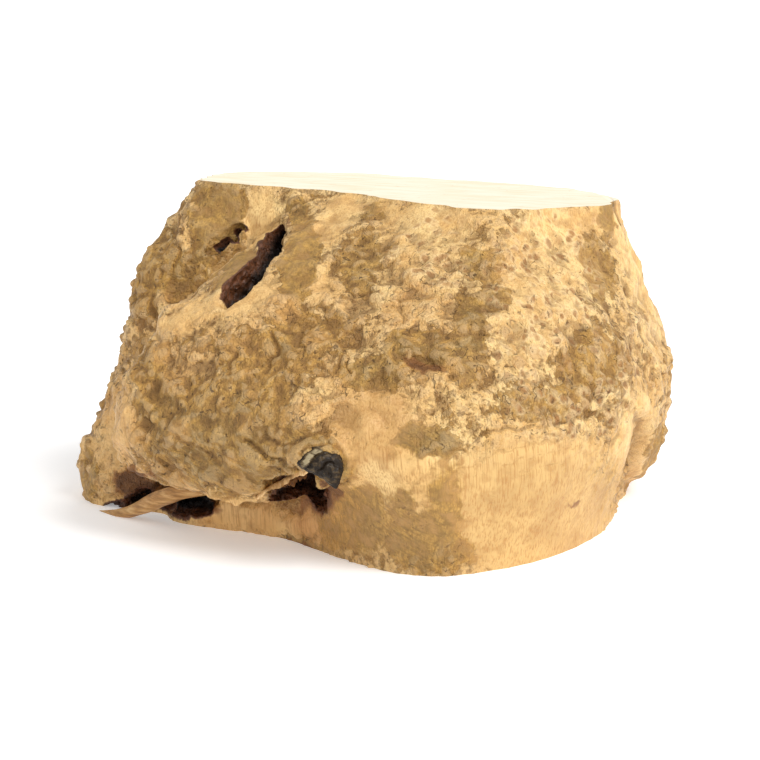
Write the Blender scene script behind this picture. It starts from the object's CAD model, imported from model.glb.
# %% [markdown]
# # A slice of tree burl
#
# A burl is a lump that a tree grows where its buds are crowded: instead of straight fibres it is full of
# small knots. This slice was sawn flat above and below, and its bark was pulled off, so that the wood shows
# pale gold, with the brown inner bark still on it in patches.
#
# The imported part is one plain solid. We load it first and keep the box round it, because the finished piece
# has to fill that same box.

import math
import random

import bmesh
import bpy
import numpy as np
from mathutils import Matrix, Vector, noise
from mathutils.kdtree import KDTree


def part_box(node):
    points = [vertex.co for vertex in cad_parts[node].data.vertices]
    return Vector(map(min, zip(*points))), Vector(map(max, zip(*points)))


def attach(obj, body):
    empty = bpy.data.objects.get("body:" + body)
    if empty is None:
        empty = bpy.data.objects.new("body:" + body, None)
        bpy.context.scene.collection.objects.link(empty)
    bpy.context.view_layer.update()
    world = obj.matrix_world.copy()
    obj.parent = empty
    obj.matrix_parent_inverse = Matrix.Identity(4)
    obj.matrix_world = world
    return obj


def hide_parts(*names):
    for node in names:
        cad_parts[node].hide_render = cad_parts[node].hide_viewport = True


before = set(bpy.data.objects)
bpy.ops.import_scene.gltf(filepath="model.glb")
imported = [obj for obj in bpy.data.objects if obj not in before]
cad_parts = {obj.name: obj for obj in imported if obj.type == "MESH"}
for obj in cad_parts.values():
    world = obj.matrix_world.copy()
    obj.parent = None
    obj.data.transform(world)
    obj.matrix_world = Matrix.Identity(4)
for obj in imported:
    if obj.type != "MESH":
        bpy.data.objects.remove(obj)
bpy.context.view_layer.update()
NODE = "burl_slice"
SHIFT = Vector((0.0028, 0.0174, 0.0))  # places were measured before the part was centred by this much
low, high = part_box(NODE)
print("the solid is", [round(1000 * side, 1) for side in high - low], "mm")

# %% [markdown]
# ## Colours and nodes
#
# Colours are written as sRGB hex values, as a colour picker gives them. Blender's shaders work in linear
# light, so one function turns them over. Another adds a node to a material with its settings and links.


# %% Two helpers
def colour(code):
    """A linear colour from an sRGB hex value such as #c8a060."""
    parts = [int(code[i : i + 2], 16) / 255 for i in (1, 3, 5)]
    return [part / 12.92 if part <= 0.04045 else ((part + 0.055) / 1.055) ** 2.4 for part in parts] + [1.0]


def add(tree, kind, settings=None, **inputs):
    """Adds a node. Its inputs, values or other nodes' outputs, go by name (Base_Color) or number (in2)."""
    node = tree.nodes.new(kind)
    for name, value in (settings or {}).items():
        setattr(node, name, value)
    for name, value in inputs.items():
        socket = node.inputs[int(name[2:])] if name[2:].isdigit() else node.inputs[name.replace("_", " ")]
        if isinstance(value, bpy.types.NodeSocket):
            tree.links.new(value, socket)
        else:
            socket.default_value = value
    return node


# %% [markdown]
# ## Camera, floor and light
#
# The photo looks down at the slice by eleven degrees with a long lens. The camera stands where the photo's
# stood. The light is a studio's: soft and white all round, and stronger from above and the right.

# %% Camera
EYE = Vector((0.0, -1.70, 0.4248)) + SHIFT
LOOK_DOWN = math.radians(11)
PICTURE = 760  # the picture is this many pixels each way
HALF = PICTURE / 2
FOCAL_PIXELS = 2229.0
AHEAD = (0.0, math.cos(LOOK_DOWN), -math.sin(LOOK_DOWN))  # the way that the camera looks
UP = (0.0, math.sin(LOOK_DOWN), math.cos(LOOK_DOWN))  # what is up in its picture

lens = bpy.data.cameras.new("camera")
lens.sensor_width = 36
lens.lens = FOCAL_PIXELS / PICTURE * lens.sensor_width
camera = bpy.data.objects.new("camera", lens)
camera.location = EYE
camera.rotation_euler = (math.pi / 2 - LOOK_DOWN, 0, 0)
bpy.context.scene.collection.objects.link(camera)
bpy.context.scene.camera = camera
print("lens", round(lens.lens, 1), "mm")

# %% Floor, sky and lamp
FLOOR_SIZE = 400  # metres, so that its edge stays out of low views

bpy.context.scene.view_settings.view_transform = "Standard"

bpy.ops.object.select_all(action="DESELECT")
bpy.ops.mesh.primitive_plane_add(size=FLOOR_SIZE)
floor = bpy.context.active_object
floor.name = "floor"
paper = bpy.data.materials.new("white paper floor")
paper.use_nodes = True
for name, value in (  # the paper glows a little, as if lit from behind, so shadows on it stay pale
    ("Base Color", colour("#fafafa")), ("Roughness", 0.9),
    ("Emission Color", colour("#ffffff")), ("Emission Strength", 0.26),
):
    paper.node_tree.nodes["Principled BSDF"].inputs[name].default_value = value
floor.data.materials.append(paper)

sky = bpy.data.worlds.new("white studio")
sky.use_nodes = True
sky.node_tree.nodes["Background"].inputs["Color"].default_value = colour("#ffffff")
sky.node_tree.nodes["Background"].inputs["Strength"].default_value = 0.70
bpy.context.scene.world = sky

sun = bpy.data.lights.new("soft key from the right", "SUN")
sun.energy = 2.2
sun.angle = math.radians(30)  # a wide light, for shadows with soft edges
lamp = bpy.data.objects.new(sun.name, sun)
lamp.rotation_euler = Vector((0.75, -0.62, 0.95)).to_track_quat("Z", "Y").to_euler()
bpy.context.scene.collection.objects.link(lamp)
print("floor", FLOOR_SIZE, "m wide, lamp", round(sun.energy, 1), "W/m2")

# %% [markdown]
# ## A finer copy of the solid
#
# The solid's triangles are about eight millimetres across, too coarse for knobs and thorns. We copy it, join
# its loose triangles, and pull both saw cuts a little outwards, so that they can be sawn again at the very
# end, through the finished relief. A voxel remesh then gives an even, fine skin, and a smoothing takes away
# the facets.

# %% Copy, lengthen and remesh
SKIN_GRAIN = 0.0018  # metres between the points of the new skin
SAW_ROOM = 0.006  # metres that each sawn end is pulled out
SAME_POINT = 1e-5  # points closer than this are one
FLAT = 0.999  # two directions this alike count as the same
SMOOTH_ROUNDS = 8
TOP_NORMAL = Vector((math.sin(math.radians(2.5)), 0, math.cos(math.radians(2.5))))
TOP_POINT = Vector((0.020, 0.020, 0.241127)) + SHIFT
DOWN = Vector((0, 0, -1))
FLOOR_POINT = Vector((0, 0, 0))

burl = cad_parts[NODE].copy()
burl.data = burl.data.copy()
burl.name = "burl"
burl.parent = None
for label in list(burl.keys()):  # the labels of the solid don't belong on its copy
    del burl[label]
bpy.context.scene.collection.objects.link(burl)
bpy.ops.object.select_all(action="DESELECT")
bpy.context.view_layer.objects.active = burl
burl.select_set(True)
burl.data.materials.clear()

bpy.ops.object.mode_set(mode="EDIT")
bpy.ops.mesh.select_all(action="SELECT")
bpy.ops.mesh.remove_doubles(threshold=SAME_POINT)
bpy.ops.object.mode_set(mode="OBJECT")


def pull_out(thing, point, normal):
    """Lengthens the thing at one of its flat ends, along that end's normal."""
    bpy.ops.object.mode_set(mode="EDIT")
    bpy.ops.mesh.select_mode(type="FACE")
    bpy.ops.mesh.select_all(action="DESELECT")
    form = bmesh.from_edit_mesh(thing.data)
    for face in form.faces:
        gap = abs((face.calc_center_median() - point).dot(normal))
        face.select_set(face.normal.dot(normal) > FLAT and gap < 2e-4)
    bmesh.update_edit_mesh(thing.data)
    bpy.ops.mesh.extrude_region_move(TRANSFORM_OT_translate={"value": normal * SAW_ROOM})
    bpy.ops.object.mode_set(mode="OBJECT")


def finish_with(thing, kind, **settings):
    """Adds a modifier and applies it."""
    step = thing.modifiers.new(kind.lower(), kind)
    for name, value in settings.items():
        setattr(step, name, value)
    bpy.ops.object.modifier_apply(modifier=step.name)


pull_out(burl, TOP_POINT, TOP_NORMAL)
pull_out(burl, FLOOR_POINT, DOWN)
burl.data.remesh_voxel_size = SKIN_GRAIN
bpy.ops.object.voxel_remesh()
finish_with(burl, "SMOOTH", factor=0.5, iterations=SMOOTH_ROUNDS)
print("fine skin:", len(burl.data.vertices), "points")

# %% [markdown]
# ## Where things are
#
# The marks on the wood are placed by eye from the photo, so it is easiest to name their places as the camera
# sees them: a place is (across, down) on the 760-pixel picture, and a size is in the same pixels, each about
# 0.76 mm on the wood. A mark counts only on the side that faces the camera, and the rest of the slice gets
# its patches from noise.


# %% Places on the picture
def picture(places):
    """Where the camera sees these points: pixels across and pixels down."""
    away = places - np.array(EYE)
    depth = away @ np.array(AHEAD)
    across = HALF + FOCAL_PIXELS * away[:, 0] / depth
    down = HALF - FOCAL_PIXELS * (away @ np.array(UP)) / depth
    return across, down


def smooth_step(start, end, value):
    """Rises softly from 0 to 1 while the value goes from start to end."""
    share = np.clip((value - start) / (end - start), 0, 1)
    return share * share * (3 - 2 * share)


def patches(spots, across, down):
    """The sum of soft oval spots: (across, down, half width, half height, turn in degrees, strength)."""
    total = np.zeros_like(across)
    for x, y, half_width, half_height, turn, strength in spots:
        c, s = math.cos(math.radians(turn)), math.sin(math.radians(turn))
        u = (c * (across - x) + s * (down - y)) / half_width
        v = (c * (down - y) - s * (across - x)) / half_height
        total += strength * (1 - smooth_step(0.55, 1.3, np.hypot(u, v)))
    return total


def noise_at(places, size, seed=0.0):
    """Soft noise from -1 to 1 at each point, with features of this size in metres."""
    return np.array([noise.noise(place) for place in (places / size + seed).tolist()])


# %% The list of marks
# Each is (across, down, half width, half height, turn in degrees, strength).
BROWN = (
    (222, 215, 30, 34, 20, 1.0), (235, 268, 26, 12, -35, 0.9), (300, 262, 18, 40, 15, 1.0),
    (298, 210, 8, 16, 10, 0.9), (365, 265, 26, 34, 0, 0.45), (372, 215, 12, 8, 0, 0.6),
    (482, 265, 22, 16, 10, 0.9), (498, 298, 24, 12, 0, 0.8), (468, 340, 16, 42, 0, 1.0),
    (425, 352, 36, 18, 10, 1.2), (372, 374, 32, 16, 0, 1.0), (215, 430, 80, 60, 10, 0.6),
    (180, 350, 50, 50, 0, 0.12), (265, 360, 50, 36, 0, 0.3), (310, 335, 50, 30, 0, 0.25),
    (424, 440, 32, 12, 5, 2.0), (362, 520, 22, 34, 10, 0.7), (412, 518, 46, 42, 0, 0.45),
    (432, 550, 38, 24, 0, 0.8), (448, 500, 18, 40, 0, 0.3), (590, 270, 26, 36, -25, 0.4),
    (608, 216, 10, 20, 0, 0.9), (590, 360, 40, 40, 0, 0.25), (545, 405, 50, 22, 0, 0.25),
    (655, 462, 12, 30, 10, 0.8), (338, 515, 24, 36, 0, 0.6), (150, 482, 30, 16, 0, 0.6),
    (88, 478, 8, 26, 0, 0.8), (300, 546, 22, 7, 15, 1.0), (150, 270, 22, 48, 20, 0.35),
    (190, 270, 18, 34, 35, 0.6), (316, 462, 36, 28, 0, 0.8), (250, 478, 60, 14, 18, 0.5),
    (150, 400, 26, 50, 0, 0.3),
)
BARE = (
    (262, 215, 14, 28, 15, 1.1), (338, 215, 14, 30, 30, 1.0), (318, 285, 9, 22, 20, 0.7),
    (248, 300, 30, 14, -30, 1.1), (192, 315, 38, 13, -32, 1.0), (118, 425, 16, 44, 12, 1.0),
    (250, 520, 60, 12, 6, 1.2), (545, 500, 76, 66, 0, 1.2), (366, 418, 32, 34, 0, 1.0),
    (335, 402, 26, 16, 0, 0.6), (545, 285, 44, 60, 0, 0.6), (565, 222, 38, 14, 0, 1.0),
    (430, 222, 46, 20, 0, 0.9), (410, 285, 40, 34, 0, 0.5), (650, 360, 14, 70, 0, 1.0),
    (292, 484, 28, 6, -15, 0.8), (408, 470, 14, 8, 0, 0.8), (420, 500, 10, 12, 0, 0.5),
    (330, 508, 5, 14, -10, 0.5), (520, 330, 26, 34, 0, 0.4), (634, 260, 14, 60, -12, 1.0),
    (388, 500, 7, 24, 10, 0.3), (412, 478, 24, 14, 0, 0.35), (375, 468, 18, 12, 0, 0.7),
    (200, 380, 40, 30, 0, 0.28), (630, 440, 16, 40, 0, 0.8),
)
ORANGE = (
    (372, 425, 46, 44, 0, 0.8), (330, 520, 40, 30, 0, 1.0), (150, 482, 34, 20, 0, 1.0),
    (300, 330, 70, 50, 0, 0.4), (240, 515, 60, 20, 0, 0.35), (420, 330, 50, 50, 0, 0.3),
    (200, 400, 110, 90, 0, 0.3), (120, 430, 30, 60, 0, 0.2), (425, 540, 60, 50, 0, 0.2),
)
TANNED = (
    (530, 515, 100, 74, 0, 1.0), (600, 520, 60, 60, 0, 0.3), (430, 560, 60, 20, 0, 0.4),
    (374, 425, 42, 38, 0, 0.45),
)
SMOOTH = (
    (222, 215, 26, 30, 20, 0.75), (300, 255, 18, 40, 15, 0.8), (245, 515, 70, 18, 8, 1.0),
    (380, 425, 44, 40, 0, 0.8), (530, 510, 96, 70, 0, 1.1), (400, 515, 60, 50, 0, 0.8),
    (338, 215, 16, 30, 30, 0.9), (590, 268, 18, 30, -25, 0.6), (565, 222, 44, 16, 0, 0.8),
    (340, 520, 40, 40, 0, 0.8), (430, 218, 50, 12, 0, 0.7), (150, 505, 60, 12, 0, 0.8),
    (634, 250, 14, 60, -12, 0.9), (655, 330, 8, 30, -10, 0.6), (640, 450, 24, 60, 0, 0.7),
    (262, 215, 14, 30, 15, 1.0), (248, 298, 30, 14, -30, 0.8), (192, 315, 36, 12, -32, 0.7),
    (540, 285, 44, 70, 0, 0.30), (430, 240, 60, 30, 0, 0.35), (235, 268, 30, 16, -35, 0.9),
    (318, 285, 10, 24, 20, 0.5), (430, 440, 46, 18, 0, 0.2), (118, 430, 18, 44, 12, 0.5),
    (608, 218, 14, 20, 0, 0.9), (370, 205, 30, 8, 0, 0.7), (400, 470, 80, 24, 0, 0.8),
    (560, 452, 60, 16, 0, 0.5), (250, 480, 50, 16, 20, 0.35), (84, 470, 10, 34, 0, 0.5),
)
PACKED = (
    (200, 400, 120, 110, 0, 1.0), (310, 340, 70, 70, 0, 0.8), (110, 340, 60, 190, 0, 0.8),
    (590, 370, 60, 60, 0, 0.4), (370, 260, 30, 40, 0, 0.55), (480, 270, 40, 30, 0, 0.5),
    (440, 350, 60, 40, 0, 0.9), (660, 400, 20, 120, 0, 0.3), (420, 300, 60, 60, 0, 0.3),
)
EYES = (
    (545, 310, 62, 110, 0, 1.0), (430, 250, 60, 50, 0, 0.6), (570, 420, 70, 24, 0, 0.7),
    (640, 330, 20, 60, 0, 0.5), (600, 380, 40, 40, 0, 0.6),
)
GREY = (
    (470, 340, 18, 44, 0, 0.6), (225, 440, 80, 60, 20, 0.4), (424, 440, 38, 16, 5, 1.2),
    (408, 525, 50, 44, 0, 0.7), (592, 270, 22, 36, -25, 0.6), (608, 218, 12, 20, 0, 0.8),
    (380, 355, 40, 20, 0, 0.5), (235, 268, 30, 14, -35, 0.8), (222, 215, 30, 34, 20, 0.4),
    (370, 265, 24, 34, 0, 0.5), (375, 540, 14, 40, -10, 0.6),
)
STAINED = (
    (150, 488, 26, 8, 0, 0.6), (200, 508, 22, 8, 6, 1.1), (133, 482, 24, 17, -20, 1.0),
    (112, 470, 14, 5, 20, 0.4), (300, 503, 24, 12, 0, 0.6), (326, 500, 12, 12, 0, 0.6),
    (338, 486, 7, 12, -10, 0.5), (300, 546, 24, 5, 12, 0.8), (330, 512, 24, 24, 0, 0.35),
    (575, 502, 9, 3, -20, 0.9), (448, 556, 20, 16, 0, 0.25), (345, 540, 30, 8, 14, 0.3),
    (287, 222, 5, 5, 0, 0.6), (425, 366, 28, 7, 12, 0.9), (340, 484, 6, 12, -15, 0.8),
    (327, 487, 11, 8, 0, 1.2),
)
FLOWING = (
    (190, 462, 70, 24, 28, 1.0), (256, 482, 40, 16, 5, 0.8), (290, 440, 26, 30, 0, 0.5),
    (424, 440, 36, 15, 5, 1.0), (404, 528, 50, 44, 0, 0.8),
)
IRONED = (
    (400, 474, 78, 26, -6, 1.0), (470, 462, 40, 22, 0, 0.8), (560, 452, 60, 20, -4, 0.6),
)
FILLED = ((245, 517, 66, 15, 8, 1.0),)
print(len(BROWN) + len(BARE), "patches of brown or bare wood")

# %% Zones on the skin
def zones(places, normals):
    """Each zone's share at each point, 0 to 1. Its front comes from the marks, its back from noise."""
    across, down = picture(places)
    across = across + 7 * noise_at(places, 0.013) + 4 * noise_at(places, 0.006, 8.1)
    down = down + 7 * noise_at(places, 0.011, 3.7) + 4 * noise_at(places, 0.005, 1.9)
    toward = np.array(EYE) - places
    toward /= np.linalg.norm(toward, axis=1)[:, None]
    seen = smooth_step(-0.05, 0.25, (normals * toward).sum(axis=1))
    clouds = noise_at(places, 0.055, 5.5)
    other_clouds = noise_at(places, 0.08, 2.5)
    nowhere = np.zeros_like(clouds)
    made = {
        "brown": (0.40 + patches(BROWN, across, down) - patches(BARE, across, down), 0.36 + 1.3 * clouds),
        "orange": (patches(ORANGE, across, down), 0.35 + 0.6 * other_clouds),
        "smooth": (patches(SMOOTH, across, down), 0.9 * smooth_step(0.12, 0.40, other_clouds)),
        "packed": (patches(PACKED, across, down), 0.4 + 1.0 * clouds),
        "eyes": (patches(EYES, across, down), 0.5 - 0.8 * clouds),
        "grey": (patches(GREY, across, down), 0.3 + 0.5 * clouds),
        "stained": (patches(STAINED, across, down), -0.3 + 0.8 * other_clouds),
        "tanned": (patches(TANNED, across, down), 0.3 + 0.5 * other_clouds),
        "flowing": (patches(FLOWING, across, down), 0.6 * clouds),
        "ironed": (patches(IRONED, across, down), nowhere),
        "filled": (patches(FILLED, across, down), nowhere),
    }
    return {name: np.clip(seen * front + (1 - seen) * back, 0, 1) for name, (front, back) in made.items()}


# %% [markdown]
# ## Knobs, nodules and thorns
#
# The burl's relief has several sizes. Where buds were crowded, broad and low knobs are packed against each
# other. Elsewhere single nodules stand out of plainer wood. On the flanks they are drawn out to points like
# thorns, and folds run between them where the wood was squeezed. There are thousands of them, so a formula
# raises them along the skin's normals. Where the wood is smooth the skin is ironed first.


# %% Raise the relief
def caps(places, spacing, seed):
    """Round caps, one in each cell of this size: how high each point is on its cap, and the cap's number."""
    rows = []
    for place in (places / spacing + seed).tolist():
        distances, centres = noise.voronoi(place)
        rows.append((distances[0], noise.cell(centres[0] * 7.3)))
    near, number = np.array(rows).T
    number = 0.5 + 0.5 * number
    reach = 0.34 + 0.36 * number
    return np.clip(1 - (near / reach) ** 2, 0, 1), number


def mesh_arrays(mesh):
    """The places and normals of all the mesh's points."""
    places = np.empty(len(mesh.vertices) * 3)
    normals = np.empty(len(mesh.vertices) * 3)
    mesh.vertices.foreach_get("co", places)
    mesh.vertices.foreach_get("normal", normals)
    return places.reshape(-1, 3), normals.reshape(-1, 3)


GROOVES = (  # across, down, across, down, half width in pixels, depth in millimetres
    (396, 356, 424, 358, 7, 3.0), (424, 358, 452, 373, 7, 3.6), (178, 250, 173, 272, 2.2, 3.0),
    (352, 372, 344, 352, 2.0, 2.0), (236, 352, 228, 372, 2.0, 2.0), (268, 330, 278, 352, 2.5, 2.5),
    (276, 350, 268, 366, 2.0, 2.0), (400, 300, 404, 322, 1.8, 1.5), (340, 350, 336, 372, 1.8, 1.8),
    (150, 300, 160, 340, 4, 2.0), (246, 440, 270, 462, 3, 2.5), (262, 452, 286, 462, 2.4, 2.5),
    (596, 250, 640, 330, 3, 1.0), (480, 432, 560, 424, 3, 1.6), (560, 424, 612, 408, 3, 1.4),
    (500, 452, 560, 440, 2, 1.0), (505, 464, 575, 447, 1.6, 0.7), (520, 473, 592, 454, 1.6, 0.6),
    (455, 472, 498, 454, 2, 0.8), (540, 480, 600, 460, 1.4, 0.5), (150, 452, 186, 478, 2, 1.0),
    (160, 440, 205, 470, 2, 1.0), (178, 436, 226, 466, 2, 0.9), (205, 440, 250, 468, 2, 0.9),
    (300, 453, 311, 444, 2, 2.2), (311, 444, 330, 442, 2, 2.2), (330, 442, 343, 452, 2, 1.8),
    (270, 440, 296, 446, 2, 1.6), (262, 452, 292, 462, 2, 1.6), (268, 468, 298, 474, 2, 1.2),
)


def grooves(lines, across, down, places):
    """How deep the grooves are at each point, in millimetres. They wander, and their ends fade."""
    across = across + 5 * noise_at(places, 0.011, 4.8)
    down = down + 5 * noise_at(places, 0.009, 7.2)
    total = np.zeros_like(across)
    for x0, y0, x1, y1, half_width, depth in lines:
        length = math.hypot(x1 - x0, y1 - y0)
        share = ((across - x0) * (x1 - x0) + (down - y0) * (y1 - y0)) / length ** 2
        clamped = np.clip(share, 0, 1)
        gap = np.hypot(across - x0 - clamped * (x1 - x0), down - y0 - clamped * (y1 - y0))
        total = np.maximum(total, depth * (1 - smooth_step(0, 1.6, gap / half_width)))
    return total * (places[:, 1] < SHIFT.y)


KNOT_SPOT = (320, 463, 22, 18)  # across, down, half width and half height in pixels
IRONING_ROUNDS = 90
KNOB_SIZES = ((0.029, 0.0, 1.0), (0.020, 3.1, 0.75), (0.013, 6.7, 0.42))  # spacing in metres, seed, share
WART_SPACING, FOLD_SIZE, RIPPLE_SIZE, CALM_SIZE = 0.0085, 0.020, 0.0058, 0.034
KNOB, WART, THORN, FOLD, RIPPLE, LEVEL = 0.0029, 0.0015, 0.0026, 0.0012, 0.0006, 0.0009  # heights in metres
FILLING, KNOT_RIM, KNOT_SOCKET = 0.0045, 0.0018, 0.0030


def melted(mesh, points, rounds):
    """The points after each has moved this many times to the middle of its neighbours."""
    edges = np.empty(2 * len(mesh.edges), dtype=np.int32)
    mesh.edges.foreach_get("vertices", edges)
    first, second = edges.reshape(-1, 2).T
    ways = np.bincount(edges, minlength=len(points))[:, None]
    for turn in range(rounds):
        total = np.stack([
            np.bincount(first, points[second, axis], len(points))
            + np.bincount(second, points[first, axis], len(points))
            for axis in range(3)
        ], axis=1)
        points = total / ways
    return points


def raise_relief(thing):
    """Raises the knobs, and returns the new places with what the materials need to know of each."""
    places, normals = mesh_arrays(thing.data)
    layers = zones(places, normals)
    places += layers.pop("ironed")[:, None] * (melted(thing.data, places, IRONING_ROUNDS) - places)
    rough, packed = 1 - layers["smooth"], layers["packed"]
    bend = np.stack([noise_at(places, 0.012, seed) for seed in (0.0, 5.3, 9.1)], axis=1)
    bent = places + 0.0038 * bend
    lump, number = np.zeros(len(places)), np.zeros(len(places))
    for spacing, seed, share in KNOB_SIZES:
        cap, pick = caps(bent, spacing, seed)
        height = cap * share * (0.35 + 0.65 * pick) * np.where(pick > 0.25, 1, packed)
        number = np.where(height > lump, pick, number)
        lump = np.maximum(lump, height)
    across, down = picture(places)
    wart, wart_number = caps(bent, WART_SPACING, 2.2)
    standing = smooth_step(0.3, 0.8, wart_number)
    sideways = smooth_step(0.45, 0.85, abs(normals[:, 0]))
    sideways = sideways * np.where(normals[:, 0] < 0, 1, places[:, 2] < 0.13)
    folds = 1 - 2 * abs(noise_at(bent, FOLD_SIZE, 4.4))
    calm = 0.5 + noise_at(places, CALM_SIZE, 8.8)
    ripple = noise_at(bent, RIPPLE_SIZE, 6.6)
    relief = KNOB * lump ** 1.2 * (0.25 + 0.75 * packed) * (0.55 + 0.9 * calm) + WART * wart * standing
    relief += THORN * sideways * wart ** 2 * standing
    relief += FOLD * (folds - 0.6) + RIPPLE * ripple - LEVEL
    relief *= 0.10 + 0.90 * rough
    relief += FILLING * layers.pop("filled")
    socket = np.hypot((across - KNOT_SPOT[0]) / KNOT_SPOT[2], (down - KNOT_SPOT[1]) / KNOT_SPOT[3])
    socket += 0.25 * noise_at(places, 0.012, 1.7) + (places[:, 1] > SHIFT.y) * 9
    rim = np.exp(-(((socket - 1.35) / 0.22) ** 2))
    relief += KNOT_RIM * rim - KNOT_SOCKET * (1 - smooth_step(0.6, 1.1, socket))
    relief -= 0.001 * grooves(GROOVES, across, down, places)
    raised = places + normals * relief[:, None]
    thing.data.vertices.foreach_set("co", raised.ravel())
    thing.data.update()
    layers["lump"] = lump * rough
    layers["wart"] = wart * standing * rough
    layers["number"] = number
    return raised, layers


raised, layers = raise_relief(burl)
print("relief layers:", {name: round(float(value.mean()), 2) for name, value in layers.items()})

# %% [markdown]
# ## Holes
#
# A long slit and a short one run into the upper left flank, where two lobes grew together round a strip of
# bark. The lower lobe has a torn hole, where a dead branch pulled out, and a hollow and a gap beside the claw
# root, which is a piece of its own and gets room here. A single sphere or box would cut too clean an edge, so
# each tool is made of balls: they run along the hole's mouth and then inwards, getting smaller, with a little
# disorder, and the edge comes out scalloped.


# %% A point on the skin under a pixel
def on_skin(across, down):
    """Where the camera's ray through this place on the picture meets the burl, and the normal there."""
    sideways = Vector((1, 0, 0)) * (across - HALF) / FOCAL_PIXELS
    ray = Vector(AHEAD) + sideways - Vector(UP) * (down - HALF) / FOCAL_PIXELS
    place, normal = burl.ray_cast(EYE, ray.normalized())[1:3]
    return np.array((*place, *normal))


bpy.context.view_layer.update()
knot_place = on_skin(*KNOT_SPOT[:2])
print("the knot's place in mm:", (1000 * knot_place[:3]).round(1))

# %% The holes' tools
HOLES = {  # way in, raggedness, darkness, then mouths: across and down in pixels, radius in millimetres
    "room for the claw": ((0.15, 0.98, 0.0), 0.8, 0.6, (
        (108, 508, 4.0), (120, 510, 6.5), (133, 511, 8.5), (147, 511, 9.5), (158, 507, 9.5), (167, 501, 9.5),
    )),
    "slit": ((0.35, 0.60, -0.70), 0.7, 1.0, (
        (283, 230, 2.4), (278, 236, 4.4), (272, 246, 5.6), (267, 256, 5.0), (263, 263, 4.0), (258, 270, 5.8),
        (251, 279, 6.6), (243, 288, 6.8), (234, 297, 6.0), (227, 305, 3.4),
    )),
    "small slit": ((0.5, 0.6, -0.6), 0.5, 1.0, (
        (245, 228, 1.6), (240, 233, 2.3), (235, 239, 2.8), (229, 244, 3.0), (222, 247, 2.2), (214, 249, 1.4),
    )),
    "torn hole": ((0.10, 0.98, 0.12), 2.4, 0.66, (
        (276, 499, 5.0), (285, 495, 9.0), (296, 491, 12.5), (306, 491, 13.0), (315, 496, 10.0),
        (322, 504, 6.0),
    )),
    "hollow behind the claw": ((0.30, 0.95, 0.05), 0.9, 0.95, (
        (154, 513, 3.5), (164, 509, 6.5), (177, 505, 8.0), (190, 504, 7.5), (202, 507, 5.5), (213, 511, 2.5),
    )),
    "gap above the claw": ((0.5, 0.8, 0.05), 1.2, 0.8, (
        (118, 507, 2.0), (128, 503, 4.5), (139, 497, 5.5), (150, 491, 4.0),
    )),
}
BALL_STEP = 0.0030  # metres from ball to ball along the mouth
DEPTH_STEPS = 6
DEPTH_REACH = 2.6  # a hole is this many mouth radii deep
TOOL_GRAIN = 0.0013  # metres between the points of a tool's skin


def tool_balls(way_in, darkness, mouths, dice):
    """The balls of one hole's tool: place, radius, and how dark the wood gets there."""
    way_in = np.array(way_in) / np.linalg.norm(way_in)
    stops = np.array([(*on_skin(across, down)[:3], radius / 1000) for across, down, radius in mouths])
    balls = []
    for start, end in zip(stops, stops[1:]):
        steps = max(2, round(np.linalg.norm(end[:3] - start[:3]) / BALL_STEP))
        for i in range(steps):
            *mouth, radius = start + (end - start) * i / steps
            radius *= dice.uniform(0.85, 1.12)
            for k in range(-2, DEPTH_STEPS):
                depth = k / (DEPTH_STEPS - 1)
                sway = np.array([dice.uniform(-1, 1) for axis in range(3)]) * 0.15 * radius
                place = np.array(mouth) + way_in * radius * DEPTH_REACH * depth + sway
                inwards = max(0, depth)
                balls.append((*place, radius * (1 - 0.5 * inwards), darkness * (0.45 + 0.55 * inwards)))
    return np.array(balls)


dice = random.Random(11)
balls = {}
for name, (way_in, raggedness, darkness, mouths) in HOLES.items():
    balls[name] = tool_balls(way_in, darkness, mouths, dice)
print({name: len(rows) for name, rows in balls.items()}, "balls")

# %% Where torn wood will hang
TORN_LINES = (  # name, places on the picture, millimetres that it hangs, starts inside, and stands out
    (
        "torn_lip", ((256, 499), (264, 492), (272, 486), (282, 481), (291, 476), (300, 472), (310, 470)),
        4.5, -0.8, 2.4,
    ),
    ("torn_flap", ((276, 487), (284, 484), (292, 480), (300, 477), (307, 477)), 6.0, 5.5, 0.5),
    ("torn_strands", ((280, 508), (290, 504), (300, 503), (310, 505), (320, 509)), 6.0, 7.0, 1.5),
)
torn_paths = {line[0]: np.array([on_skin(*spot) for spot in line[1]]) for line in TORN_LINES}
print({name: len(path) for name, path in torn_paths.items()}, "points along the torn wood")


# %% Cut the holes
def cutting_tool(name, rows):
    """One closed body from the balls: all of them are joined, then remeshed into one ragged skin."""
    form = bmesh.new()
    for x, y, z, radius, dark in rows:
        bmesh.ops.create_icosphere(form, subdivisions=2, radius=radius, matrix=Matrix.Translation((x, y, z)))
    mesh = bpy.data.meshes.new(name)
    form.to_mesh(mesh)
    form.free()
    tool = bpy.data.objects.new(name, mesh)
    bpy.context.scene.collection.objects.link(tool)
    bpy.context.view_layer.objects.active = tool
    tool.data.remesh_voxel_size = TOOL_GRAIN
    bpy.ops.object.voxel_remesh()
    places, normals = mesh_arrays(tool.data)
    rag = HOLES[name][1] * (0.0011 * noise_at(places, 0.0045) + 0.0007 * noise_at(places, 0.0022, 3.3))
    tool.data.vertices.foreach_set("co", (places + normals * rag[:, None]).ravel())
    return tool


def cut(thing, tool):
    """Takes the tool's body out of the thing, and then the tool out of the scene."""
    bpy.context.view_layer.objects.active = thing
    finish_with(thing, "BOOLEAN", operation="DIFFERENCE", solver="MANIFOLD", object=tool)
    bpy.data.objects.remove(tool)


for name, rows in balls.items():
    cut(burl, cutting_tool(name, rows))
    print("after", name, len(burl.data.vertices), "points")

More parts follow.
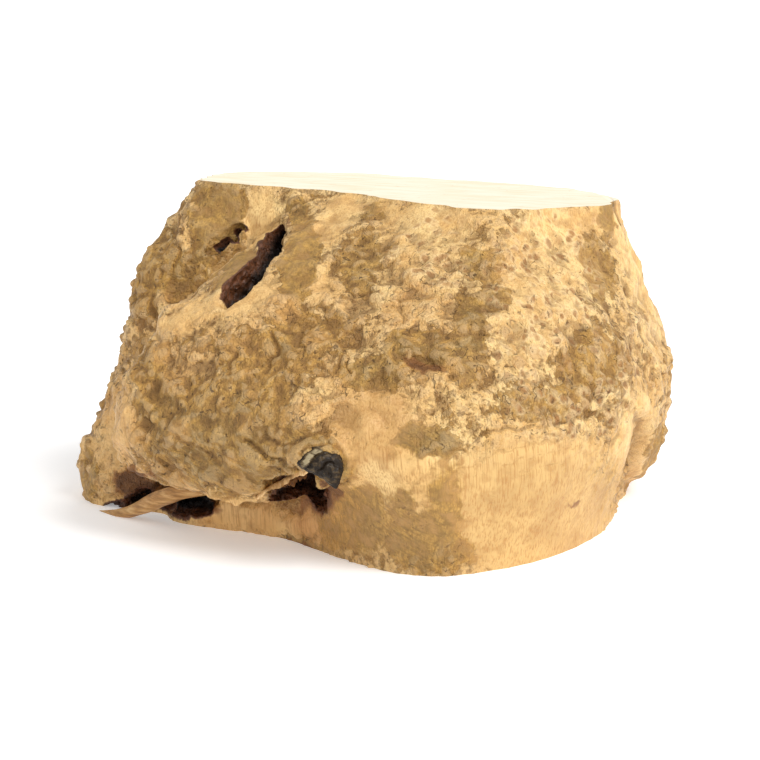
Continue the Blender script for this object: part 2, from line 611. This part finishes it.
# %% [markdown]
# ## Saw it again
#
# Both saw cuts are made once more, at the same heights as on the solid, so their edges run crisply through
# the knobs. The skin is then thinned to a number of faces that is still easy to handle, and the sawn faces
# are shaded flat.

# %% The two saw cuts
FACES = 194000
SHADING_ANGLE = math.radians(50)
debarked = bpy.data.materials.new("debarked burl wood")
sawn = bpy.data.materials.new("sawn wood")
burl.data.materials.clear()
burl.data.materials.append(debarked)
burl.data.materials.append(sawn)
bpy.ops.object.select_all(action="DESELECT")
burl.select_set(True)
bpy.context.view_layer.objects.active = burl
bpy.ops.object.mode_set(mode="EDIT")
for point, normal in ((TOP_POINT, TOP_NORMAL), (FLOOR_POINT, DOWN)):
    bpy.ops.mesh.select_all(action="SELECT")
    bpy.ops.mesh.bisect(plane_co=point, plane_no=normal, clear_outer=True, use_fill=True, threshold=1e-6)
bpy.ops.object.mode_set(mode="OBJECT")

finish_with(burl, "TRIANGULATE")
finish_with(burl, "DECIMATE", ratio=min(1.0, FACES / len(burl.data.polygons)))
for face in burl.data.polygons:
    top = face.normal.dot(TOP_NORMAL) > FLAT and abs((face.center - TOP_POINT).dot(TOP_NORMAL)) < 1e-4
    base = face.normal.dot(DOWN) > FLAT and abs(face.center.z) < 1e-4
    face.material_index = 1 if top or base else 0
bpy.ops.object.shade_smooth_by_angle(angle=SHADING_ANGLE)
for face in burl.data.polygons:
    if face.material_index == 1:
        face.use_smooth = False
print("after thinning:", len(burl.data.polygons), "faces")

# %% Write the zones on the finished mesh
SOAK = 0.0006  # metres of wood round a hole that take its colour
places, normals = mesh_arrays(burl.data)
tree = KDTree(len(raised))
for i, place in enumerate(raised.tolist()):
    tree.insert(place, i)
tree.balance()
nearest = np.array([tree.find(place)[1] for place in places.tolist()])

inside = np.zeros(len(places))
for rows in balls.values():
    for x, y, z, radius, dark in rows:
        gap = (np.linalg.norm(places - (x, y, z), axis=1) - SOAK) / radius
        inside = np.maximum(inside, smooth_step(1.35, 1.02, gap) * dark)


def sunk(rounds):
    """How far each point lies below the melted skin, in millimetres; crests count below zero."""
    return 1000 * ((melted(burl.data, places, rounds) - places) * normals).sum(axis=1)


values = {name: layer[nearest] for name, layer in layers.items()}
values["inside"] = inside
values["crevice"] = 0.5 + 0.5 * np.clip(sunk(4) / 0.5, -1, 1)
values["valley"] = 0.5 + 0.5 * np.clip(sunk(40) / 2.6, -1, 1)
print("crevices", round(float(sunk(4).std()), 3), "mm, valleys", round(float(sunk(40).std()), 3), "mm")
for name, layer in values.items():
    written = burl.data.attributes.new(name, "FLOAT", "POINT")
    written.data.foreach_set("value", layer.astype(np.float32))

# %% [markdown]
# ## Debarked burl wood
#
# Sapwood of a burl, air-dried after the bark came off: satin, pale gold, with a swirled figure of rings round
# small eyes. Where the inner bark stays on it is a thin, duller, olive-brown skin. The figure is painted in
# coats of colour, each let through by masks that come from noise or from the zones.


# %% The material of the flank
MULTIPLY, SUBTRACT, PLUS = {"operation": "MULTIPLY"}, {"operation": "SUBTRACT"}, {"operation": "MULTIPLY_ADD"}
EASED = {"interpolation_type": "SMOOTHSTEP"}


def painted(tree, of, ground, coats):
    """Lays coats over the ground. Each is a colour, its share, and the names of the masks that thin it."""
    for code, share, *masks in coats:
        for mask in masks:
            share = add(tree, "ShaderNodeMath", MULTIPLY, in0=share, in1=of[mask]).outputs[0]
        mix = add(tree, "ShaderNodeMix", {"data_type": "RGBA"}, in0=share, in6=ground, in7=colour(code))
        ground = mix.outputs[2]
    return ground


def weighed(tree, of, start, terms):
    """A sum: the start and, for each term, its weight times the pattern of that name."""
    for weight, name in terms:
        start = add(tree, "ShaderNodeMath", PLUS, in0=of[name], in1=weight, in2=start).outputs[0]
    return start


def debarked_burl(material):
    material.use_nodes = True
    tree = material.node_tree
    tree.nodes.clear()
    place = add(tree, "ShaderNodeTexCoord").outputs["Object"]
    of = {name: add(tree, "ShaderNodeAttribute", {"attribute_name": name}).outputs["Fac"] for name in values}
    of["rough"] = add(tree, "ShaderNodeMath", SUBTRACT, in0=1.0, in1=of["smooth"]).outputs[0]

    # Every fibre winds round the knobs: noise pushes all fine patterns about by up to five millimetres.
    warp = add(tree, "ShaderNodeTexNoise", Vector=place, Scale=1 / 0.011, Detail=2.0).outputs["Color"]
    centred = add(tree, "ShaderNodeVectorMath", SUBTRACT, in0=warp, in1=(0.5, 0.5, 0.5))
    shift = add(tree, "ShaderNodeVectorMath", {"operation": "SCALE"}, in0=centred.outputs[0], Scale=0.008)
    moved = add(tree, "ShaderNodeVectorMath", {"operation": "ADD"}, in0=place, in1=shift.outputs[0])
    swirled = moved.outputs[0]
    halfway = add(tree, "ShaderNodeMix", {"data_type": "VECTOR"}, in0=0.45, in4=place, in5=swirled)
    wavy = halfway.outputs[1]

    # Noises: their features in metres along x, y and z, the turn of their long way, and how wild they are.
    # Real fibres are a tenth of a millimetre across. They are drawn ten times coarser, so that they show.
    for name, where, sizes, turn, detail in (
        ("fine", place, (0.0017, 0.0017, 0.0017), 0, 3.0),
        ("small", swirled, (0.0042, 0.0042, 0.0042), 0, 3.0),
        ("mid", swirled, (0.009, 0.009, 0.009), 0, 4.0),
        ("wide", place, (0.030, 0.030, 0.030), 0, 3.0),
        ("spells", place, (0.017, 0.017, 0.017), 0, 2.0),
        ("fibre", wavy, (0.0012, 0.0012, 0.014), 0, 3.0),
        ("grain", place, (0.0011, 0.0011, 0.034), 4, 3.0),
        ("flow", place, (0.0016, 0.0030, 0.026), 62, 3.0),
        ("wander", swirled, (0.010, 0.010, 0.024), 0, 1.0),
        ("trails", swirled, (0.013, 0.013, 0.050), 0, 1.0),
    ):
        laid = add(
            tree, "ShaderNodeMapping", {"vector_type": "TEXTURE"},
            Vector=where, Rotation=(0, math.radians(-turn), 0), Scale=sizes,
        )
        cloud = add(tree, "ShaderNodeTexNoise", Vector=laid.outputs[0], Scale=1.0, Detail=detail)
        of[name] = cloud.outputs["Fac"]

    # Eyes, the cut ends of tiny buds, stand eight millimetres apart; rings run round bigger knots.
    eye = add(tree, "ShaderNodeTexVoronoi", Vector=swirled, Scale=1 / 0.008)
    of["eye distance"] = eye.outputs["Distance"]
    of["eye gap"] = weighed(tree, of, -0.30, ((1.0, "eye distance"), (0.35, "small"), (0.25, "mid")))
    of["eye pick"] = add(tree, "ShaderNodeSeparateColor", Color=eye.outputs["Color"]).outputs[0]
    of["knot gap"] = add(tree, "ShaderNodeTexVoronoi", Vector=swirled, Scale=1 / 0.019).outputs["Distance"]
    for name, start, terms in (
        ("ring phase", 0.0, ((34.0, "knot gap"), (9.0, "mid"))),
        ("knob phase", 0.0, ((22.0, "lump"), (9.0, "mid"), (6.0, "small"))),
        ("ragged", -0.90, ((1.0, "brown"), (1.0, "mid"), (0.55, "small"), (0.25, "fine"))),
        ("stain edge", -0.4, ((1.0, "stained"), (0.6, "mid"), (0.2, "fine"))),
    ):
        of[name] = weighed(tree, of, start, terms)
    for name, phase in (("rings", "ring phase"), ("knob lines", "knob phase")):
        of[name] = add(tree, "ShaderNodeMath", {"operation": "SINE"}, in0=of[phase]).outputs[0]
    centred = add(tree, "ShaderNodeMath", SUBTRACT, in0=of["wander"], in1=0.5).outputs[0]
    of["crack gap"] = add(tree, "ShaderNodeMath", {"operation": "ABSOLUTE"}, in0=centred).outputs[0]

    # Masks: each rises from 0 to 1 while its pattern goes from the first number to the second.
    for name, pattern, start, end in (
        ("pale wide", "wide", 0.35, 0.65), ("mottled", "mid", 0.46, 0.68),
        ("speckled", "small", 0.54, 0.66), ("dark mottled", "small", 0.50, 0.66),
        ("dusty", "fine", 0.52, 0.70), ("clouded", "mid", 0.36, 0.62), ("fibred", "fibre", 0.48, 0.66),
        ("grained", "grain", 0.46, 0.66), ("streaked", "flow", 0.47, 0.62), ("eyed", "eyes", 0.2, 0.7),
        ("chosen", "eye pick", 0.15, 0.20), ("dot", "eye gap", 0.47, 0.20), ("rim", "eye gap", 0.70, 0.42),
        ("trailed", "trails", 0.38, 0.52), ("ringed", "rings", -0.2, 1.0),
        ("spelled", "spells", 0.50, 0.62), ("knob lined", "knob lines", 0.3, 1.0),
        ("on a knob", "lump", 0.10, 0.40), ("knob top", "lump", 0.25, 0.70),
        ("knob foot", "lump", 0.22, 0.04), ("wart top", "wart", 0.25, 0.6),
        ("sunken", "valley", 0.52, 0.95), ("creased", "crevice", 0.60, 0.95),
        ("crested", "crevice", 0.40, 0.10), ("rubbed", "number", 0.62, 0.72),
        ("cracked", "crack gap", 0.010, 0.003), ("cracks here", "spells", 0.56, 0.62),
        ("pit", "small", 0.35, 0.29), ("crisp skin", "ragged", 0.46, 0.56),
        ("thin skin", "ragged", 0.26, 0.76), ("thick skin", "ragged", 0.70, 1.20),
        ("skin edge", "ragged", 0.40, 0.49), ("within edge", "ragged", 0.60, 0.50),
        ("stain", "stain edge", 0.35, 0.80), ("stain deep", "stain edge", 0.70, 1.10),
        ("mouth", "inside", 0.15, 0.40), ("deep", "inside", 0.42, 0.88), ("torn dark", "small", 0.40, 0.60),
    ):
        mask = add(tree, "ShaderNodeMapRange", EASED, Value=of[pattern], From_Min=start, From_Max=end)
        of[name] = mask.outputs["Result"]
    for name, one, other in (
        ("crack", "cracked", "cracks here"), ("crack", "crack", "rough"),
        ("eye", "eyed", "chosen"), ("eye", "eye", "trailed"),
    ):
        of[name] = add(tree, "ShaderNodeMath", MULTIPLY, in0=of[one], in1=of[other]).outputs[0]
    skinned = add(tree, "ShaderNodeMix", in0=of["smooth"], in2=of["crisp skin"], in3=of["thin skin"])
    of["skinned"] = skinned.outputs[0]

    bare = painted(tree, of, colour("#f2cd8a"), (
        ("#e4b56e", 0.8, "pale wide"), ("#cf9656", 0.8, "orange"), ("#c0975a", 0.90, "tanned"),
        ("#cc934a", 0.40, "mottled", "rough"), ("#c2873d", 0.42, "fibred", "rough"),
        ("#e6c07c", 0.55, "pale wide", "tanned"), ("#ad7d42", 0.45, "clouded", "mottled", "smooth"),
        ("#b0793a", 0.62, "grained", "smooth"), ("#a5733b", 0.50, "speckled", "rough"),
    ))
    skin = painted(tree, of, colour("#c99b4c"), (
        ("#a27635", 0.75, "clouded"), ("#9a7a45", 0.45, "grey"), ("#b98240", 0.45, "orange"),
        ("#7e5924", 0.50, "dark mottled"), ("#dcae60", 0.45, "dusty"), ("#865f26", 0.42, "fibred"),
        ("#73572c", 0.55, "streaked", "flowing"), ("#7b6232", 0.55, "thick skin"),
        ("#8f6a35", 0.60, "grained", "smooth"), ("#c4955a", 0.50, "mottled", "smooth"),
    ))
    wood = add(tree, "ShaderNodeMix", {"data_type": "RGBA"}, in0=of["skinned"], in6=bare, in7=skin).outputs[2]
    wood = painted(tree, of, wood, (
        ("#6f4c22", 0.40, "skin edge", "within edge", "rough"), ("#c8965a", 0.28, "knob top", "packed"),
        ("#e0a95f", 0.35, "knob top", "rubbed", "packed"), ("#86602f", 0.22, "on a knob", "knob foot"),
        ("#b08048", 0.25, "wart top"), ("#ac783f", 0.35, "wart top", "eyed"),
        ("#f1d5a2", 0.35, "rim", "eye"), ("#a26d33", 0.85, "dot", "eye"),
        ("#8a5f30", 0.14, "ringed", "spelled", "rough"),
        ("#7c5529", 0.20, "knob lined", "on a knob", "rough"), ("#7d5826", 0.18, "sunken"),
        ("#7d5826", 0.28, "sunken", "packed"), ("#6f4b20", 0.45, "creased", "rough"),
        ("#a5783e", 0.35, "creased", "smooth"), ("#f0d6a6", 0.16, "crested", "rough"),
        ("#4f3418", 0.60, "crack"), ("#553819", 0.60, "pit", "rough"), ("#553819", 0.45, "pit", "grey"),
        ("#8d5a2a", 0.80, "stain"), ("#4e2d14", 0.75, "stain deep"), ("#6b3d1e", 1.0, "mouth"),
        ("#2d190b", 0.5, "mouth", "torn dark"), ("#120a05", 1.0, "deep"),
    ))

    height = weighed(tree, of, 0.0, (
        (1.0, "fine"), (1.7, "small"), (0.9, "fibre"), (0.20, "ringed"), (-0.20, "knob lined"),
        (-0.5, "dot"), (-1.2, "crack"), (-0.8, "pit"), (0.35, "crisp skin"), (0.25, "grain"),
    ))
    calmed = weighed(tree, of, 0.18, ((0.82, "rough"),))
    height = add(tree, "ShaderNodeMath", MULTIPLY, in0=height, in1=calmed).outputs[0]
    bump = add(tree, "ShaderNodeBump", Strength=1.0, Distance=0.0013, Height=height)
    dull = weighed(tree, of, 0.50, ((0.12, "skinned"),))
    shader = add(tree, "ShaderNodeBsdfPrincipled", Base_Color=wood, Normal=bump.outputs[0], Roughness=dull)
    add(tree, "ShaderNodeOutputMaterial", Surface=shader.outputs[0])
    print(material.name, "has", len(tree.nodes), "nodes")


debarked_burl(debarked)

# %% [markdown]
# ## Sawn wood
#
# The saw left the end grain dull and nearly white, with faint streaks along its way and a few brown flecks,
# where it went through buds. Streaks are noise that is drawn out along the cut.


# %% The sawn faces
def sawn_wood(material):
    material.use_nodes = True
    tree = material.node_tree
    shader = tree.nodes["Principled BSDF"]
    place = add(tree, "ShaderNodeTexCoord").outputs["Object"]
    of = {}
    for name, sizes, start, end in (
        ("streaked", (0.045, 0.0030, 0.0030), 0.40, 0.66), ("flecked", (0.007, 0.0030, 0.0030), 0.66, 0.74),
    ):
        laid = add(tree, "ShaderNodeMapping", {"vector_type": "TEXTURE"}, Vector=place, Scale=sizes)
        streaks = add(tree, "ShaderNodeTexNoise", Vector=laid.outputs[0], Scale=1.0, Detail=4.0)
        value = streaks.outputs["Fac"]
        mask = add(tree, "ShaderNodeMapRange", EASED, Value=value, From_Min=start, From_Max=end)
        of[name] = mask.outputs["Result"]
    wood = painted(tree, of, colour("#faf0da"), (("#ecdcb8", 0.8, "streaked"), ("#b98f58", 0.6, "flecked")))
    tree.links.new(wood, shader.inputs["Base Color"])
    shader.inputs["Roughness"].default_value = 0.7
    print(material.name, "has", len(tree.nodes), "nodes")


sawn_wood(sawn)

# %% [markdown]
# ## The claw root, the dead knot and the torn edge
#
# Some small things need a finer skin than the whole slice can have, so each is a mesh of its own that sits in
# the wood. A root grew out at the lower left and ended in a claw: it is a tube of rings along a bent line. A
# dead branch left a dark, folded knot: it is a ball that is pressed to an outline. Below the knot the wood
# was torn, and three ragged strips of it hang over the hole: each is a grid of points that gets a thickness
# and is then rounded. Their lines were read off the picture, so they are built from points and not by hand.


# %% A piece from a grid of points
def sheet_piece(name, grid, closed_round, material):
    """A piece from a grid of points, (rows, columns, 3). A round one is closed all round and at its ends."""
    rows, columns = grid.shape[:2]
    last = columns if closed_round else columns - 1
    faces = []
    for i in range(rows - 1):
        for j in range(last):
            k = (j + 1) % columns
            faces.append((i * columns + j, i * columns + k, (i + 1) * columns + k, (i + 1) * columns + j))
    if closed_round:
        faces.append(tuple(reversed(range(columns))))
        faces.append(tuple(range((rows - 1) * columns, rows * columns)))
    mesh = bpy.data.meshes.new(name)
    mesh.from_pydata(grid.reshape(-1, 3).tolist(), [], faces)
    mesh.materials.append(material)
    piece = bpy.data.objects.new(name, mesh)
    bpy.context.scene.collection.objects.link(piece)
    bpy.ops.object.select_all(action="DESELECT")
    piece.select_set(True)
    bpy.context.view_layer.objects.active = piece
    return piece


def smooth_line(stops, count, blur):
    """A line of this many points through the stops, with its corners blurred."""
    where = np.linspace(0, len(stops) - 1, count)
    columns = []
    for column in stops.T:
        line = np.pad(np.interp(where, range(len(stops)), column), len(blur) // 2, "edge")
        columns.append(np.convolve(line, blur / blur.sum(), "valid"))
    return np.stack(columns, axis=1)


def close_up(piece):
    """Points all faces outwards and shades the piece smooth."""
    bpy.ops.object.mode_set(mode="EDIT")
    bpy.ops.mesh.select_all(action="SELECT")
    bpy.ops.mesh.normals_make_consistent(inside=False)
    bpy.ops.object.mode_set(mode="OBJECT")
    bpy.ops.object.shade_smooth_by_angle(angle=math.radians(60))
    print(piece.name, len(piece.data.polygons), "faces")


# %% The claw root
CLAW = (  # across and down on the picture, depth in metres, radius in millimetres, from its tip into the wood
    (99, 511, -0.040, 0.5), (107, 513, -0.046, 2.2), (117, 514, -0.055, 3.4), (130, 512, -0.063, 4.6),
    (145, 506, -0.072, 6.0), (159, 499, -0.080, 6.5), (171, 495, -0.087, 6.2), (186, 491, -0.093, 5.6),
    (205, 489, -0.096, 5.0), (225, 488, -0.090, 4.5),
)
CLAW_RINGS, CLAW_SIDES = 150, 56


def at_depth(across, down, y):
    """The point at this depth that the camera sees at this place on the picture."""
    sideways, upwards = (across - HALF) / FOCAL_PIXELS, (HALF - down) / FOCAL_PIXELS
    ahead = (y - EYE.y) / (AHEAD[1] + UP[1] * upwards)
    height = EYE.z + ahead * (UP[2] * upwards + AHEAD[2])
    return EYE.x + ahead * sideways, y, height


def claw_grid():
    """Rings of points round the claw's line, with lumps, fibres and a ridge, none of them below the floor."""
    stops = np.array([(*at_depth(x, down, y + SHIFT.y), radius / 1000) for x, down, y, radius in CLAW])
    print("the claw's heights in mm:", [round(1000 * stop, 1) for stop in stops[:, 2]])
    line = smooth_line(stops, CLAW_RINGS, np.exp(-0.5 * (np.arange(-9, 10) / 4.0) ** 2))
    along = np.gradient(line[:, :3], axis=0)
    along /= np.linalg.norm(along, axis=1)[:, None]
    side = np.cross(along, (0, 0, 1))
    side /= np.linalg.norm(side, axis=1)[:, None]
    upward = np.cross(side, along)
    angles = np.linspace(0, 2 * math.pi, CLAW_SIDES, endpoint=False)
    grid = []
    for i in range(CLAW_RINGS):
        ring = []
        for angle in angles:
            fibre = noise.noise((3 * math.cos(angle), 3 * math.sin(angle), 0.02 * i))
            lump = noise.noise((1.2 * math.cos(angle), 1.2 * math.sin(angle), 0.06 * i + 4))
            ridge = max(0.0, math.cos(angle - 1.2)) ** 6
            radius = line[i, 3] * (1 + 0.07 * fibre + 0.10 * lump + 0.10 * ridge)
            out = side[i] * math.cos(angle) * 1.04 + upward[i] * math.sin(angle) * 0.96
            ring.append(line[i, :3] + radius * out)
        grid.append(ring)
    grid = np.array(grid)
    grid[:, :, 2] = np.maximum(grid[:, :, 2], 0.0002)
    return grid


root_wood = bpy.data.materials.new("bare root wood")
claw_root = sheet_piece("claw_root", claw_grid(), True, root_wood)
close_up(claw_root)

# %% The dead knot
dead_wood = bpy.data.materials.new("dead knot wood")
bpy.ops.object.select_all(action="DESELECT")
bpy.ops.mesh.primitive_ico_sphere_add(subdivisions=7, radius=1)
dead_knot = bpy.context.active_object
dead_knot.name = "dead_knot"
dead_knot.data.materials.append(dead_wood)
KNOT_OUTLINE = (  # angle in degrees from the right, and how far the knot reaches there, in millimetres
    (-180, 15.5), (-160, 11.5), (-130, 8.0), (-100, 8.5), (-76, 11.0), (-58, 20.5), (-35, 17.0), (-8, 16.0),
    (25, 14.5), (71, 12.5), (127, 13.0), (160, 15.5),
)
KNOT_BULGE, KNOT_SINK = 0.0080, 0.0030
knot_out = Vector((0.05, -0.93, 0.36)).normalized()
knot_right = Vector((0, 0, 1)).cross(-knot_out).normalized() * -1
knot_up = knot_out.cross(knot_right).normalized()
print("the knot's up is", [round(part, 2) for part in knot_up])
knot_middle = Vector(knot_place[:3]) - knot_out * KNOT_SINK
turns, reaches = np.array(KNOT_OUTLINE).T
folds = []
for point in dead_knot.data.vertices:
    way = point.co.normalized()
    across_it, up_it, out_it = way
    reach = 0.001 * np.interp(math.degrees(math.atan2(up_it, across_it)), turns, reaches, period=360)
    across_mm, up_mm = 1000 * reach * across_it, 1000 * reach * up_it
    from_tail = math.hypot(across_mm - 7, up_mm + 9) / 15 + 0.10 * noise.noise(way * 2.3)
    fold = abs(math.sin(5.6 * from_tail + 0.9 * noise.noise(way * 2.7 + Vector((5, 5, 5)))))
    crumbs = noise.noise(way * 8) * 0.6 + noise.noise(way * 17) * 0.4
    size = 1 - 0.20 * (1 - fold) ** 2 + 0.07 * crumbs
    weathered = math.exp(-(((from_tail - 1.22) / 0.20) ** 2)) * max(0, out_it)
    folds.append(0.75 * fold + 1.1 * weathered)
    crumbled = 1 + 0.05 * crumbs
    local = (across_it * reach * crumbled, up_it * reach * crumbled, out_it * size * KNOT_BULGE)
    point.co = knot_middle + knot_right * local[0] + knot_up * local[1] + knot_out * local[2]
written = dead_knot.data.attributes.new("fold", "FLOAT", "POINT")
written.data.foreach_set("value", np.array(folds, dtype=np.float32))
close_up(dead_knot)

# %% The torn edge over the hole
torn_wood = bpy.data.materials.new("torn wood")
torn_brown = bpy.data.materials.new("torn brown wood")
STRIP_COLUMNS, STRIP_ROWS = 150, 12
STRIP_THICKNESS = 0.0012


def torn_grid(stops, hang, start_inside, stand_out, seed):
    """A ragged strip: it leaves the skin along the line, bulges outwards and hangs down to a torn edge."""
    path = smooth_line(stops[:, :3], STRIP_COLUMNS, np.ones(11))
    outward = np.array((0, -1, 0.15))
    grid = np.zeros((STRIP_ROWS, STRIP_COLUMNS, 3))
    for j in range(STRIP_COLUMNS):
        share = j / (STRIP_COLUMNS - 1)
        ends = math.sin(math.pi * share) ** 0.5
        rag = 0.60 + 0.85 * noise.noise((share * 8, seed, 0)) + 0.4 * noise.noise((share * 15, seed, 5))
        reach = 0.001 * hang * ends * max(0.10, rag)
        for i in range(STRIP_ROWS):
            fall = i / (STRIP_ROWS - 1)
            wave = noise.noise((share * 12, fall * 1.5, seed + 8))
            bulge = 0.001 * stand_out * math.sin(math.pi * fall * 0.8)
            out = bulge + 0.0022 * wave * fall - 0.001 * start_inside
            drop = reach * fall - 0.0012 * (1 - fall)
            grid[i, j] = path[j] + outward * out + np.array((0.2 * wave * reach, 0, -drop))
    return grid


torn_pieces = []
for number, (name, line, hang, start_inside, stand_out) in enumerate(TORN_LINES):
    grid = torn_grid(torn_paths[name], hang, start_inside, stand_out, 3.3 + 7.1 * number)
    strip = sheet_piece(name, grid, False, torn_brown if number else torn_wood)  # only the lip is pale
    finish_with(strip, "SOLIDIFY", thickness=STRIP_THICKNESS, offset=0)
    finish_with(strip, "SUBSURF", levels=1, render_levels=1)
    close_up(strip)
    torn_pieces.append(strip)


# %% [markdown]
# ## Root, knot and torn wood
#
# The root is the same wood with its fibres along it. The knot is dead, soaked with resin and nearly black,
# with a faint gloss, and grey on the crests where it weathered. Torn wood is fibrous and dull: pale at the
# lip, where it broke last, and browned further in.


# %% Their materials
def small_wood(material, dark, mid_tone, light, stretch, roughness, shine=0.5, fold_layer=False):
    """Streaked wood in three tones. stretch is a streak's size along x, y and z in metres, drawn coarse."""
    material.use_nodes = True
    tree = material.node_tree
    shader = tree.nodes["Principled BSDF"]
    place = add(tree, "ShaderNodeTexCoord").outputs["Object"]
    along = add(tree, "ShaderNodeMapping", Vector=place, Scale=[1 / size for size in stretch])
    streaks = add(tree, "ShaderNodeTexNoise", Vector=along.outputs[0], Scale=1.0, Detail=4.0, Roughness=0.6)
    value = streaks.outputs["Fac"]
    if fold_layer:
        fold = add(tree, "ShaderNodeAttribute", {"attribute_name": "fold"}).outputs["Fac"]
        value = add(tree, "ShaderNodeMath", {"operation": "MULTIPLY"}, in0=value, in1=fold).outputs[0]
    ramp = add(tree, "ShaderNodeValToRGB", Fac=value)
    ramp.color_ramp.elements[0].position = 0.3
    ramp.color_ramp.elements[0].color = colour(dark)
    ramp.color_ramp.elements[1].position = 0.7
    ramp.color_ramp.elements[1].color = colour(light)
    ramp.color_ramp.elements.new(0.5).color = colour(mid_tone)
    bump = add(tree, "ShaderNodeBump", Strength=0.8, Distance=0.0006, Height=value)
    tree.links.new(ramp.outputs["Color"], shader.inputs["Base Color"])
    tree.links.new(bump.outputs[0], shader.inputs["Normal"])
    shader.inputs["Roughness"].default_value = roughness
    shader.inputs["Specular IOR Level"].default_value = shine


small_wood(root_wood, "#8f6433", "#bd8c4f", "#dcb377", (0.016, 0.010, 0.0022), 0.5)
small_wood(dead_wood, "#221910", "#54432b", "#a39372", (0.0045, 0.0045, 0.0022), 0.42, 0.22, True)
small_wood(torn_wood, "#b98a50", "#ddb47a", "#f0d09a", (0.0018, 0.0018, 0.0060), 0.7)
small_wood(torn_brown, "#4a2c15", "#85562a", "#b98650", (0.0014, 0.0014, 0.0060), 0.7)

# %% [markdown]
# ## Hand over
#
# The finished pieces stand for the plain solid and move with the part's one body.

# %% Hand the pieces over
for piece in (burl, claw_root, dead_knot, *torn_pieces):
    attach(piece, "root")
    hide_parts(NODE)
